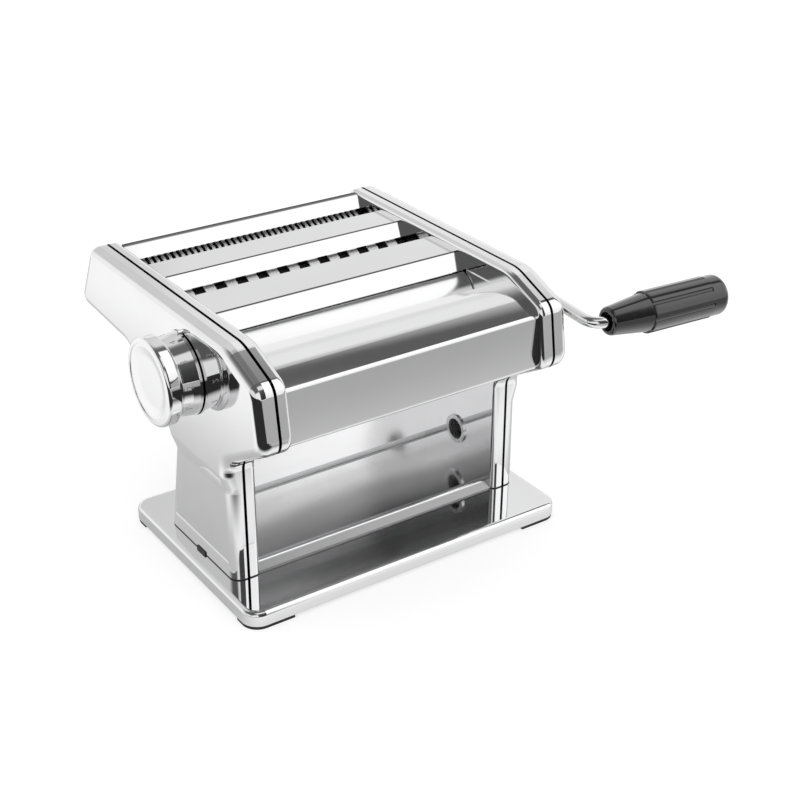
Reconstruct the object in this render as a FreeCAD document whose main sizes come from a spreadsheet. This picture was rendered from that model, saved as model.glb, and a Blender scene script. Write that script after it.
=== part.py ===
import FreeCAD, Part
import os
import re
import Sketcher

doc = FreeCAD.newDocument("pasta_roller_machine")
sheet = doc.addObject("Spreadsheet::Sheet", "sizes")

# Driving sizes in millimetres and degrees; x runs to the crank side, y to the back, z up from the table
driving_sizes = [
    ("sheet_width", 152.0, "clear width between the two side frames"),
    ("base_margin", 6.0, "base plate beyond the face of each cover"),
    ("base_width", 135.0, "base plate along y"),
    ("base_height", 8.0, "depth of the pressed base tray"),
    ("base_sheet", 1.2, "sheet of the base tray"),
    ("base_corner", 9.5, "corner radius of the base in plan"),
    ("base_edge", 3.0, "rounding round the top of the base"),
    ("foot_height", 2.0, "rubber below the rim of the base"),
    ("foot_length", 26.0, "rubber foot along x"),
    ("foot_width", 15.0, "rubber foot along y"),
    ("foot_inset", 0.4, "foot inside the outline of the base"),
    ("frame_sheet", 1.2, "sheet of the side frames"),
    ("frame_flange", 6.4, "depth of the side frame's turned rim"),
    ("frame_bend", 3.0, "bend from the wall into its rim"),
    ("rim_gap", 1.6, "shadow gap between side frame and cover"),
    ("cover_sheet", 1.0, "sheet of the side covers"),
    ("cover_depth", 10.0, "depth of a side cover"),
    ("cover_edge", 6.0, "rounding round the face of a cover"),
    ("leg_step", 2.6, "step from the head of a cover in to its leg"),
    ("clip_sheet", 0.6, "thickness of a cover clip"),
    ("clip_length", 9.0, "cover clip along y"),
    ("clip_height", 1.6, "height of a cover clip"),
    ("step_height", 9.0, "height over which the step blends"),
    ("step_round", 7.0, "rounding of the step"),
    ("step_rise", -3.0, "middle of the step above the head's base"),
    ("trim_sheet", 0.8, "sheet of the bars, the front cover and the chute"),
    ("leg_height", 60.0, "deck of the base up to the base of the head"),
    ("leg_front", 36.5, "front of the leg's foot ahead of the middle"),
    ("leg_rear", 37.0, "rear of the leg's foot behind the middle"),
    ("neck_front", 36.0, "front of the neck ahead of the middle"),
    ("neck_rise", 10.0, "front of the neck above the base of the head"),
    ("neck_rear", 24.5, "rear of the neck behind the middle"),
    ("neck_round", 9.0, "rounding of the neck into the head"),
    ("head_height", 77.3, "base of the head up to its top rim"),
    ("brow_reach", 5.2, "start of the front slope ahead of the front roller's axis"),
    ("brow_round", 25.0, "rounding at the start of the front slope"),
    ("nose_reach", 16.2, "top of the nose ahead of the front roller"),
    ("nose_drop", 11.3, "top of the nose below the rim"),
    ("nose_round", 9.0, "rounding at the top of the nose"),
    ("chin_reach", 21.2, "chin ahead of the front roller"),
    ("chin_drop", 44.3, "chin below the rim"),
    ("chin_round", 10.0, "rounding of the chin"),
    ("tail_top", 9.0, "rear of the top rim behind the last cutter's axis"),
    ("tail_top_round", 5.0, "rounding at the rear of the top rim"),
    ("tail_reach", 17.2, "tail behind the last cutter"),
    ("tail_room", 5.7, "tail below the fine cutters"),
    ("tail_round", 7.0, "rounding of the tail"),
    ("belly_reach", 10.0, "belly corner ahead of the fine cutter's axis"),
    ("belly_room", 9.9, "belly corner below the fine cutters"),
    ("belly_round", 15.0, "rounding of the belly corner"),
    ("roller_radius", 18.0, "smooth rollers"),
    ("roller_end_gap", 1.0, "end of a roller to the side frame"),
    ("roller_ease", 0.6, "eased edges of the smooth rollers"),
    ("roller_bore", 8.0, "bore of the front roller"),
    ("roller_mean_gap", 2.2, "gap between the smooth rollers at mid travel"),
    ("axle_y", 1.9, "knob and eccentric axle behind the middle"),
    ("roller_drop", 13.0, "top of the rear roller, on the axle's own centre, below the rim"),
    ("axle_throw", 1.6, "throw of the eccentric axle"),
    ("axle_angle", 108.0, "direction of the throw at the setting shown, from +y towards +z"),
    ("axle_rod", 6.0, "radius of the eccentric rod"),
    ("axle_journal", 8.4, "radius of the axle's journal on the knob side"),
    ("axle_tail", 3.8, "radius of the axle's far journal"),
    ("axle_spigot", 5.0, "radius of the axle inside the knob"),
    ("axle_flat", 3.8, "flats of the spigot from its axis"),
    ("axle_shoulder", 0.5, "journal of the axle to the end of the rear roller"),
    ("rod_end_gap", 0.4, "eccentric rod to the bridge plate"),
    ("bush_radius", 8.9, "outside of the floating bushes"),
    ("bush_length", 30.0, "length of a floating bush"),
    ("hub_radius", 11.0, "rear roller's hub through the right wall"),
    ("running_gap", 0.05, "radial clearance of a running shaft"),
    ("seat_gap", 0.02, "radial clearance of a pressed or seated piece"),
    ("moving_gap", 0.5, "clearance where pieces pass each other"),
    ("bush_wall", 1.6, "wall of a bearing bush"),
    ("bush_flange", 1.5, "flange of a bearing bush beyond its sleeve"),
    ("flange_sheet", 1.5, "thickness of a bush's flange"),
    ("shaft_radius", 6.8, "drive shafts that hold the crank"),
    ("idler_radius", 6.0, "plain ends of the shafts"),
    ("shaft_stub", 1.0, "end of a shaft beyond what it carries"),
    ("socket_depth", 25.0, "depth of a drive socket"),
    ("slot_width", 2.3, "slots across a drive socket"),
    ("slot_reach", 5.4, "slots from the axis"),
    ("slot_depth", 7.0, "slots from the mouth of a socket"),
    ("socket_end_gap", 0.5, "end of the crank to the floor of a socket"),
    ("socket_inset", 0.3, "mouth of a socket behind the cover's face"),
    ("ring_wall", 1.6, "wall of the ring round a drive socket"),
    ("ring_flange", 1.6, "flange of that ring"),
    ("ring_sheet", 0.8, "thickness of the ring's flange"),
    ("ring_tail", 1.0, "sleeve of the ring behind the cover"),
    ("gear_start", 2.0, "gears beyond the side frame's wall"),
    ("gear_width", 6.0, "width of the gears"),
    ("tooth_sink", 0.6, "foot of a tooth inside its gear's ring"),
    ("roller_teeth", 12, "teeth of a smooth roller's gear"),
    ("roller_gear_sink", 4.1, "roots of a smooth roller's gear inside its pitch circle"),
    ("roller_gear_rise", 2.1, "tips of a smooth roller's gear outside its pitch circle"),
    ("roller_tooth_root", 3.2, "tooth at the root"),
    ("roller_tooth_tip", 1.6, "tooth at the tip"),
    ("cutter_teeth", 12, "teeth of a cutter's gear"),
    ("cutter_gear_sink", 2.2, "roots of a cutter's gear inside its pitch circle"),
    ("cutter_gear_rise", 1.8, "tips of a cutter's gear outside its pitch circle"),
    ("cutter_tooth_root", 2.9, "tooth at the root"),
    ("cutter_tooth_tip", 1.3, "tooth at the tip"),
    ("bridge_sheet", 1.6, "plate of the gear bridge"),
    ("bridge_gap", 1.0, "gears to the bridge plate"),
    ("pillar_radius", 3.0, "pillars of the gear bridge"),
    ("pillar_edge", 7.0, "bridge plate beyond its pillars"),
    ("pillar_rise", 20.0, "upper pillar above the front roller's axis"),
    ("pillar_fall", 21.0, "lower pillar below the front roller's axis"),
    ("pillar_back", 26.0, "rear pillar behind the axle"),
    ("pillar_low", 19.5, "rear pillar below the axle"),
    ("rivet_radius", 1.8, "riveted ends of the pillars"),
    ("rivet_stub", 0.6, "riveted ends beyond the plate"),
    ("cutter_radius", 11.8, "discs of the cutters"),
    ("cutter_bite", 1.6, "discs of a pair past each other's edges"),
    ("groove_gap", 0.6, "disc to the floor of its partner's groove"),
    ("wide_drop", 11.2, "top of the wide cutters below the rim"),
    ("fine_drop", 9.2, "top of the fine cutters below the rim"),
    ("cutter_gap", 2.3, "rear smooth roller to the first cutter"),
    ("pair_gap", 0.9, "wide cutters to the fine cutters"),
    ("wide_strip", 6.5, "strip from the wide cutters"),
    ("fine_strip", 1.92, "strip from the fine cutters"),
    ("blade_gap", 0.14, "between neighbouring discs of a pair"),
    ("comb_sheet", 1.2, "thickness of a comb"),
    ("comb_gap", 0.5, "comb to the grooves it lies in"),
    ("comb_back", 3.5, "solid back of a comb"),
    ("comb_reach", 6.0, "fingers beyond the cutter's axis"),
    ("comb_side", 0.5, "finger of a comb inside the width of its strip"),
    ("scraper_sheet", 1.0, "thickness of a scraper"),
    ("scraper_gap", 0.5, "edge of a scraper to its roller"),
    ("scraper_angle", 12.0, "edge of a scraper round its roller, from straight below towards the nip"),
    ("scraper_width", 14.0, "blade of a scraper"),
    ("scraper_slope", 30.0, "blade of a scraper below level"),
    ("scraper_flange", 5.0, "level flange of a scraper"),
    ("scraper_bend", 1.5, "bend of a scraper"),
    ("cheek_sheet", 0.7, "thickness of an end cheek"),
    ("cheek_top", 11.8, "top of the cheeks below the rim"),
    ("cheek_height", 9.0, "height of the cheeks"),
    ("cheek_front", 5.6, "front of the cheeks behind the front roller's axis"),
    ("cheek_length", 24.0, "length of the cheeks along y"),
    ("cheek_round", 4.0, "rounded lower corners of the cheeks"),
    ("bar_drop", 4.2, "top of the bars below the rim"),
    ("front_bar_start", 2.1, "front edge of the wide bar behind the axle"),
    ("front_bar_width", 26.5, "top of the wide bar"),
    ("front_lip_run", 9.6, "forward run of the wide bar's sloping lip"),
    ("front_lip_drop", 7.3, "fall of the wide bar's sloping lip"),
    ("middle_lip_run", 8.9, "forward run of the narrow bar's sloping lip"),
    ("middle_lip_drop", 5.9, "fall of the narrow bar's sloping lip"),
    ("bar_back_drop", 2.8, "fall of a bar's rear edge"),
    ("bar_bend", 1.2, "bends of the bars"),
    ("rear_bar_start", 3.4, "front edge of the narrow bar behind the rear wide cutter"),
    ("rear_bar_width", 21.5, "top of the narrow bar"),
    ("rear_lip_run", 9.6, "forward run of the rear wall's inner lip"),
    ("rear_lip_drop", 7.2, "fall of the rear wall's inner lip"),
    ("hood_back", 4.3, "rear edge of the front cover behind the front roller's axis"),
    ("hood_back_drop", 10.6, "rear edge of the front cover below the rim"),
    ("hood_crest", 10.7, "crest of the front cover ahead of the front roller's axis"),
    ("hood_crest_drop", 8.6, "crest of the front cover below the rim"),
    ("hood_round", 32.0, "curve over the crest"),
    ("hood_fold", 13.4, "fold of the front cover ahead of the front roller"),
    ("hood_fold_drop", 17.0, "fold of the front cover below the rim"),
    ("hood_bend", 2.4, "bend of the fold"),
    ("apron_length", 30.0, "height of the apron"),
    ("apron_lean", 1.0, "foot of the apron ahead of the fold"),
    ("apron_hem", 4.0, "hem turned back under the apron"),
    ("apron_hem_drop", 1.5, "fall of that hem"),
    ("rear_wall_inset", 5.4, "top of the rear wall ahead of the rims"),
    ("rear_wall_tuck", 6.5, "foot of the rear wall ahead of the tail"),
    ("rear_wall_lift", 6.0, "foot of the rear wall above the tail"),
    ("chute_lift", 4.6, "floor of the chute above the deck"),
    ("chute_front", 30.0, "front of the chute's floor ahead of the middle"),
    ("chute_lip", 4.0, "run of the chute's front lip"),
    ("chute_rear", 32.0, "rear of the chute's floor behind the middle"),
    ("chute_bend", 3.0, "bends of the chute"),
    ("chute_top", 17.5, "top of the chute's back behind the middle"),
    ("chute_rise", 28.0, "top of the chute's back above the base of the head"),
    ("rod_radius", 3.5, "tie rods"),
    ("rod_front_gap", 6.5, "front tie rod's axis ahead of the front roller"),
    ("rod_front_drop", 10.0, "front tie rod below the front roller's axis"),
    ("rod_middle_gap", 2.0, "middle tie rod's axis behind the rear roller"),
    ("rod_bar_gap", 1.5, "middle and rear tie rods below the bars"),
    ("screw_radius", 2.0, "shanks of the screws"),
    ("screw_head", 3.6, "heads of the screws"),
    ("screw_height", 2.0, "height of a screw head"),
    ("screw_length", 9.0, "shank inside a tie rod"),
    ("screw_end_gap", 1.0, "tapped hole beyond the tip of its screw"),
    ("screw_round", 0.8, "rounded edge of a screw head"),
    ("base_screw_length", 5.0, "shank of a base screw"),
    ("base_screw_spread", 18.0, "base screws each side of the leg's middle"),
    ("clamp_radius", 6.2, "bore of the clamp sleeve"),
    ("clamp_wall", 1.2, "wall of the clamp sleeve"),
    ("clamp_flange", 1.2, "flange of the clamp sleeve"),
    ("clamp_sheet", 1.0, "thickness of that flange"),
    ("clamp_rise", 24.0, "clamp sleeve above the deck"),
    ("clamp_y", -0.9, "clamp sleeve along y"),
    ("clamp_length", 8.0, "length of the clamp sleeve"),
    ("knob_gap", 0.6, "knob to the cover"),
    ("knob_radius", 23.4, "rim of the knob"),
    ("knob_rim", 7.0, "width of the rim band"),
    ("knob_waist", 19.8, "waist of the knob"),
    ("knob_skirt", 21.6, "skirt of the knob"),
    ("knob_edge", 22.2, "thin edge at the back of the skirt"),
    ("knob_wall", 2.2, "wall of the knob"),
    ("knob_web", 3.0, "web that slides on the spigot"),
    ("web_start", 2.5, "web from the back of the knob"),
    ("web_gap", 0.5, "journal of the axle to the web"),
    ("face_gap", 0.7, "head of the knob's screw to the face disc"),
    ("spring_slack", 0.5, "spring's space beyond its closed coils when the knob is drawn out"),
    ("knob_screw_length", 8.0, "shank of the knob's screw"),
    ("knob_screw_head", 8.2, "radius of the head of the knob's screw"),
    ("knob_edge_width", 1.2, "width of the thin edge"),
    ("knob_skirt_length", 9.4, "end of the skirt from the back of the knob"),
    ("knob_taper", 1.2, "fall of the skirt's radius"),
    ("knob_flare", 1.4, "length over which the waist flares into the rim"),
    ("knob_ease", 0.8, "rounded rear edge of the rim"),
    ("knob_round", 1.8, "rounded front edge of the rim"),
    ("face_inset", 0.3, "face disc behind the front of the rim"),
    ("face_border", 1.8, "flat border of the face disc"),
    ("face_slope", 5.0, "run of the slope into the dish"),
    ("dish_round", 12.0, "rounding of the slope into the dish"),
    ("index_radius", 1.3, "index pin"),
    ("index_length", 4.0, "index pin beyond the cover"),
    ("index_shift", 2.9, "index pin ahead of the axle"),
    ("index_round", 0.7, "rounded tip of the index pin"),
    ("knob_face_radius", 20.4, "face disc in the rim"),
    ("knob_face_sheet", 2.0, "thickness of the face disc"),
    ("knob_dish", 1.0, "dish of the face"),
    ("knob_travel", 4.0, "pull of the knob"),
    ("spring_wire", 0.7, "radius of the spring's wire"),
    ("spring_radius", 7.0, "middle of the spring's coil"),
    ("spring_turns", 3, "turns of the spring"),
    ("arm_gap", 19.0, "plane of the crank arm beyond the cover"),
    ("crank_arm", 105.0, "length of the crank arm"),
    ("crank_droop", 3.8, "crank arm below level"),
    ("crank_rod", 3.25, "radius of the crank rod"),
    ("crank_bend", 9.0, "bends of the crank rod"),
    ("crank_pin", 1.0, "radius of the pin across the crank's end"),
    ("crank_pin_reach", 4.8, "pin from the rod's axis"),
    ("crank_splay", 4.0, "grip leaning away from the line of the shaft"),
    ("grip_start", 8.8, "nose of the grip beyond the arm's plane"),
    ("grip_nose", 7.8, "radius of the nose"),
    ("grip_mouth", 5.4, "recess in the nose"),
    ("grip_mouth_depth", 5.0, "depth of that recess"),
    ("grip_cone", 25.0, "length of the nose cone"),
    ("grip_length", 67.0, "grip without its cap"),
    ("grip_radius", 11.9, "body of the grip"),
    ("grip_flute", 0.9, "depth of the grip's grooves"),
    ("grip_flute_count", 8, "grooves round the grip"),
    ("flute_radius", 1.3, "section of a groove"),
    ("grip_step", 1.0, "step from the nose cone up to the body"),
    ("cap_step", 0.4, "cap below the body"),
    ("grip_nose_round", 2.0, "rounding of the nose"),
    ("crank_tail", 58.0, "end of the crank from the nose of the grip"),
    ("cap_plug", 5.0, "plug of the cap in the bore"),
    ("cap_round", 4.0, "rounding of the cap"),
    ("cap_length", 11.0, "rounded cap on the grip"),
]
for row, (alias, number, meaning) in enumerate(driving_sizes, start=1):
    sheet.set(f"A{row}", meaning)
    sheet.set(f"B{row}", str(number))
    sheet.setAlias(f"B{row}", alias)
doc.recompute()

# Places that several pieces share, worked out from the driving sizes
wall = "(sheet_width/2)"
wall_back = f"({wall} + frame_sheet)"
frame_rim = f"({wall} + frame_flange)"
cover_rim = f"({frame_rim} + rim_gap)"
cover_face = f"({cover_rim} + cover_depth)"
base_end = f"({cover_face} + base_margin)"
roller_end = f"({wall} - roller_end_gap)"
deck = "(foot_height + base_height)"
head_base = f"({deck} + leg_height)"
rim_z = f"({head_base} + head_height)"
axle_z = f"({rim_z} - roller_drop - roller_radius)"
front_y = "(axle_y - 2*roller_radius - roller_mean_gap)"
front_z = f"({axle_z} + axle_throw/2)"
rear_y = "(axle_y + axle_throw*cos(axle_angle))"
rear_z = f"({axle_z} + axle_throw*sin(axle_angle))"
cutter_centres = "(2*cutter_radius - cutter_bite)"
cutter_core = "(cutter_radius - cutter_bite - groove_gap)"
wide_front_y = "(axle_y + roller_radius + cutter_gap + cutter_radius)"
wide_rear_y = f"({wide_front_y} + {cutter_centres})"
wide_z = f"({rim_z} - wide_drop - cutter_radius)"
fine_front_y = f"({wide_rear_y} + 2*cutter_radius + pair_gap)"
fine_rear_y = f"({fine_front_y} + {cutter_centres})"
fine_z = f"({rim_z} - fine_drop - cutter_radius)"
tail_y = f"({fine_rear_y} + cutter_radius + tail_reach)"
tail_z = f"({fine_z} - cutter_radius - tail_room)"
gear_x = f"({wall_back} + gear_start)"
bridge_x = f"({gear_x} + gear_width + bridge_gap)"
socket_mouth = f"({cover_face} - socket_inset)"
bar_top = f"({rim_z} - bar_drop)"
front_bar_y = "(axle_y + front_bar_start)"
rear_bar_y = f"({wide_rear_y} + rear_bar_start)"
clamp_z = f"({deck} + clamp_rise)"
hood_fold_y = f"({front_y} - roller_radius - hood_fold)"
hood_fold_z = f"({rim_z} - hood_fold_drop)"
knob_back = f"({cover_face} + knob_gap)"
step_z = f"({head_base} + step_rise)"
leg_middle = f"(({wall_back} + {frame_rim})/2)"
leg_face = f"({cover_face} - leg_step)"
socket_bore = "(crank_rod + running_gap)"
spring_space = "(knob_travel + 2*spring_wire*spring_turns + spring_slack)"
spigot_end = f"(web_start + knob_web + {spring_space})"
knob_length = f"({spigot_end} + screw_height + face_gap + knob_face_sheet + face_inset)"
arm_x = f"({cover_face} + arm_gap)"
grip_y = f"({wide_front_y} - crank_arm*cos(crank_droop))"
grip_z = f"({wide_z} - crank_arm*sin(crank_droop))"


def bound(text):
    """The text with the name of each size turned into its cell."""
    return re.sub(r"\b([a-z]\w*)\b(?!\()", r"sizes.\1", text)


def size(text):
    """The number that a text of sizes comes to."""
    return float(sheet.evalExpression(bound(text)))


def bind(thing, **texts):
    """Bind properties of an object to texts of sizes; a double underscore stands for a dot."""
    for name, text in texts.items():
        thing.setExpression(name.replace("__", "."), bound(text))


def place(thing, x="0", y="0", z="0"):
    bind(thing, Placement__Base__x=x, Placement__Base__y=y, Placement__Base__z=z)
    return thing


def measure(sketch, kind, places, text):
    """A dimension of a sketch, tied to a text of sizes."""
    number = sketch.addConstraint(Sketcher.Constraint(kind, *places, size(text)))
    name = f"{kind}_{number}_{sketch.ConstraintCount}_{sketch.GeometryCount}"
    sketch.renameConstraint(number, name)
    sketch.setExpression(f"Constraints.{name}", bound(text))


def draw(sketch, corners, closed=True):
    """Straight runs through corners (across, up); a third text rounds a corner by that radius."""
    points = [FreeCAD.Vector(size(c[0]), size(c[1]), 0) for c in corners]
    ends = points[1:] + points[:1] if closed else points[1:]
    first = sketch.GeometryCount
    for start, end in zip(points, ends):
        sketch.addGeometry(Part.LineSegment(start, end))
    last = first + len(ends) - 1
    for line in range(first, last):
        sketch.addConstraint(Sketcher.Constraint("Coincident", line, 2, line + 1, 1))
    if closed:
        sketch.addConstraint(Sketcher.Constraint("Coincident", last, 2, first, 1))
    for number, corner in enumerate(corners):
        at_end = first + number > last
        spot = (last, 2) if at_end else (first + number, 1)
        measure(sketch, "DistanceX", (-1, 1, *spot), corner[0])
        measure(sketch, "DistanceY", (-1, 1, *spot), corner[1])
    for number, corner in enumerate(corners):
        if len(corner) == 3:
            arc = sketch.GeometryCount
            line = last if number == 0 else first + number - 1
            sketch.fillet(line, 2, size(corner[2]), True, True)
            measure(sketch, "Radius", (arc,), corner[2])


def rectangle(left, right, low, high):
    return [(left, low), (right, low), (right, high), (left, high)]


def circle(sketch, across, up, radius):
    at = FreeCAD.Vector(size(across), size(up), 0)
    number = sketch.addGeometry(Part.Circle(at, FreeCAD.Vector(0, 0, 1), size(radius)))
    measure(sketch, "DistanceX", (-1, 1, number, 3), across)
    measure(sketch, "DistanceY", (-1, 1, number, 3), up)
    measure(sketch, "Radius", (number,), radius)


def new_body(name, x="0", y="0", z="0"):
    body = doc.addObject("PartDesign::Body", name)
    body.Label = name
    return place(body, x, y, z)


def origin_part(body, role):
    return next(f for f in body.Origin.OriginFeatures if f.Role == role)


def new_sketch(body, plane, offset="0"):
    """A sketch on one of the body's own planes, moved along the plane's normal."""
    sketch = body.newObject("Sketcher::SketchObject", f"{body.Label}_sketch")
    sketch.AttachmentSupport = (origin_part(body, plane), [""])
    sketch.MapMode = "FlatFace"
    bind(sketch, AttachmentOffset__Base__z=offset)
    return sketch


def feature(body, kind, sketch, length, **settings):
    made = body.newObject(f"PartDesign::{kind}", f"{body.Label}_{kind.lower()}")
    made.Profile = sketch
    bind(made, Length=length)
    for name, setting in settings.items():
        setattr(made, name, setting)
    doc.recompute()
    return made


def pad(body, sketch, length, **settings):
    return feature(body, "Pad", sketch, length, **settings)


def pocket(body, sketch, length, **settings):
    """A pocket that must take something away."""
    before = body.Shape.Volume
    made = feature(body, "Pocket", sketch, length, **settings)
    if body.Shape.Volume > before - 1e-6:
        raise ValueError(f"a pocket of {body.Label} cuts nothing")
    return made


def turn(body, profile, kind="Revolution"):
    """Turn a closed outline (along x, radius) about the body's own x axis."""
    sketch = new_sketch(body, "XY_Plane")
    draw(sketch, profile)
    made = body.newObject(f"PartDesign::{kind}", f"{body.Label}_{kind.lower()}")
    made.Profile = sketch
    made.ReferenceAxis = (sketch, ["H_Axis"])
    made.Angle = 360
    doc.recompute()
    return made


def dress(body, kind, base, names, **texts):
    """A fillet on named edges of the body's last feature."""
    made = body.newObject(f"PartDesign::{kind}", f"{body.Label}_{kind.lower()}")
    made.Base = (base, names)
    bind(made, **texts)
    doc.recompute()
    return made


def polar(body, original, count):
    made = body.newObject("PartDesign::PolarPattern", f"{body.Label}_round")
    made.Originals = [original]
    made.Axis = (origin_part(body, "X_Axis"), [""])
    made.Angle = 360
    bind(made, Occurrences=count)
    body.Tip = made
    doc.recompute()
    return made


def row_along_x(body, original, pitch, count):
    made = body.newObject("PartDesign::LinearPattern", f"{body.Label}_row")
    made.Originals = [original]
    made.Direction = (origin_part(body, "X_Axis"), [""])
    bind(made, Length=f"{pitch}*({count} - 1)", Occurrences=count)
    body.Tip = made
    doc.recompute()
    return made


def edges_at(shape, test):
    """Names of the edges whose ends and middle all pass a test."""
    names = []
    for number, edge in enumerate(shape.Edges, start=1):
        middle = edge.valueAt((edge.FirstParameter + edge.LastParameter) / 2)
        if all(test(p) for p in [middle] + [v.Point for v in edge.Vertexes]):
            names.append(f"Edge{number}")
    return names


def group(name, members):
    made = doc.addObject("Part::Compound", name)
    made.Label = name
    made.Links = members
    return made


def bent_sheet(name, corners, gauge, width=f"2*{wall}", side=1):
    """Sheet bent along an open line (y, z) and as wide as the space between the side frames."""
    line = doc.addObject("Sketcher::SketchObject", f"{name}_line")
    turn_up = FreeCAD.Rotation(FreeCAD.Vector(1, 1, 1), 120)
    line.Placement = FreeCAD.Placement(FreeCAD.Vector(), turn_up)
    draw(line, corners, closed=False)
    skin = doc.addObject("Part::Offset2D", f"{name}_skin")
    skin.Source = line
    skin.Mode = "Skin"
    skin.Fill = True
    bind(skin, Value=gauge if side > 0 else f"-{gauge}")
    made = doc.addObject("Part::Extrusion", name)
    made.Label = name
    made.Base = skin
    made.DirMode = "Custom"
    made.Dir = FreeCAD.Vector(1, 0, 0)
    made.Solid = True
    made.Symmetric = True
    bind(made, LengthFwd=width)
    return made


side_outline = [
    (f"{fine_rear_y} + tail_top", rim_z, "tail_top_round"),
    (f"{front_y} - brow_reach", rim_z, "brow_round"),
    (f"{front_y} - roller_radius - nose_reach", f"{rim_z} - nose_drop", "nose_round"),
    (f"{front_y} - roller_radius - chin_reach", f"{rim_z} - chin_drop", "chin_round"),
    ("-neck_front", f"{head_base} + neck_rise", "neck_round"),
    ("-leg_front", deck),
    ("leg_rear", deck),
    ("neck_rear", head_base, "neck_round"),
    (f"{fine_front_y} - belly_reach", f"{fine_z} - cutter_radius - belly_room", "belly_round"),
    (tail_y, tail_z, "tail_round"),
]


def tray_block(name, inset, height):
    """A block in the form of the base, drawn in by an inset and rounded round its top."""
    body = new_body(name)
    sketch = new_sketch(body, "XY_Plane", "foot_height")
    corners = [
        (f"{i}*({base_end} - {inset})", f"{j}*(base_width/2 - {inset})", f"base_corner - {inset}")
        for i, j in ((-1, -1), (1, -1), (1, 1), (-1, 1))
    ]
    draw(sketch, corners)
    block = pad(body, sketch, height)
    top = size(f"foot_height + {height}")
    upper = edges_at(block.Shape, lambda p: abs(p.z - top) < 1e-6)
    dress(body, "Fillet", block, upper, Radius=f"base_edge - {inset}")
    return body


def hollow_out(body, hollow):
    cut = body.newObject("PartDesign::Boolean", f"{body.Label}_hollowed")
    cut.Type = "Cut"
    cut.setObjects([hollow])
    doc.recompute()


# Base plate: a shallow pressed tray, open below, with a rounded top edge
def make_base_plate():
    hollow = tray_block("base_plate_hollow", "base_sheet", "(base_height - base_sheet)")
    body = tray_block("base_plate", "0", "base_height")
    hollow_out(body, hollow)
    holes = new_sketch(body, "XY_Plane", deck)
    for x in (f"-{leg_middle}", leg_middle):
        for y in ("-base_screw_spread", "base_screw_spread"):
            circle(holes, x, y, "screw_radius + seat_gap")
    pocket(body, holes, "2*base_sheet")


# Rubber feet: corner pads under the rim, with a plug that fills the tray behind them
def make_rubber_feet():
    feet = []
    for i, j in ((-1, -1), (1, -1), (1, 1), (-1, 1)):
        foot = doc.addObject("PartDesign::Body", f"foot_{len(feet)}")
        for inset, start, height in (
            ("foot_inset", "0", "foot_height"),
            ("(base_edge + foot_inset)", "foot_height", "base_height - base_sheet"),
        ):
            outer_x = f"{i}*({base_end} - {inset})"
            outer_y = f"{j}*(base_width/2 - {inset})"
            inner_x = f"{i}*({base_end} - foot_length)"
            inner_y = f"{j}*(base_width/2 - foot_width)"
            sketch = new_sketch(foot, "XY_Plane", start)
            draw(
                sketch,
                [
                    (inner_x, inner_y),
                    (outer_x, inner_y),
                    (outer_x, outer_y, f"base_corner - {inset}"),
                    (inner_x, outer_y),
                ],
            )
            pad(foot, sketch, height)
        feet.append(foot)
    group("rubber_feet", feet)


def shaft_holes(side):
    """Where shafts, rods and the clamp sleeve pass the wall on one side (y, z, radius)."""
    front_shaft = "shaft_radius" if side > 0 else "idler_radius"
    sleeve = "bush_wall + running_gap + seat_gap"
    holes = [(front_y, front_z, f"{front_shaft} + {sleeve}")]
    if side > 0:
        holes.append(("axle_y", axle_z, "hub_radius + axle_throw + moving_gap"))
        holes.append(("clamp_y", clamp_z, "clamp_radius + clamp_wall + seat_gap"))
    else:
        holes.append(("axle_y", axle_z, f"axle_journal + {sleeve}"))
    for y, z, driven in cutter_axes:
        radius = "shaft_radius" if side > 0 and driven else "idler_radius"
        holes.append((y, z, f"{radius} + {sleeve}"))
    for y, z in rod_places:
        holes.append((y, z, "screw_radius + seat_gap"))
    return holes


cutter_axes = [
    (wide_front_y, wide_z, True),
    (wide_rear_y, wide_z, False),
    (fine_front_y, fine_z, True),
    (fine_rear_y, fine_z, False),
]
under_bars = f"{bar_top} - trim_sheet - rod_radius - rod_bar_gap"
rod_places = [
    (f"{front_y} - roller_radius - rod_front_gap", f"{front_z} - rod_front_drop"),
    ("axle_y + roller_radius + rod_middle_gap", under_bars),
    (f"({wide_rear_y} + {fine_front_y})/2", under_bars),
]


def outline_profile(body, offset, inset=None):
    """The outline of the sides in a plane across x, or that outline drawn in by an inset."""
    sketch = new_sketch(body, "YZ_Plane", offset)
    draw(sketch, side_outline)
    if inset is None:
        return sketch
    doc.recompute()
    binder = body.newObject("PartDesign::SubShapeBinder", f"{body.Label}_inset")
    binder.Support = [(sketch, [""])]
    bind(binder, Offset=f"-{inset}")
    return binder


def rim_edges(shape, x, z_floor):
    """The edges of an outline in the plane x, without the straight one along the floor."""
    rim = edges_at(shape, lambda p: abs(p.x - x) < 1e-6)
    floor = edges_at(shape, lambda p: abs(p.z - z_floor) < 1e-6)
    return [edge for edge in rim if edge not in floor]


def frame_block(name, side, start, inset, bend):
    """A solid in the form of a side frame, rounded round the face towards the rollers."""
    body = new_body(name)
    outline = outline_profile(body, f"{side}*{start}", inset)
    block = pad(body, outline, f"{frame_rim} - {start}", Reversed=side < 0)
    floor = size(deck if inset is None else f"{deck} + {inset}")
    bends = rim_edges(block.Shape, side * size(start), floor)
    dress(body, "Fillet", block, bends, Radius=bend)
    return body


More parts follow.
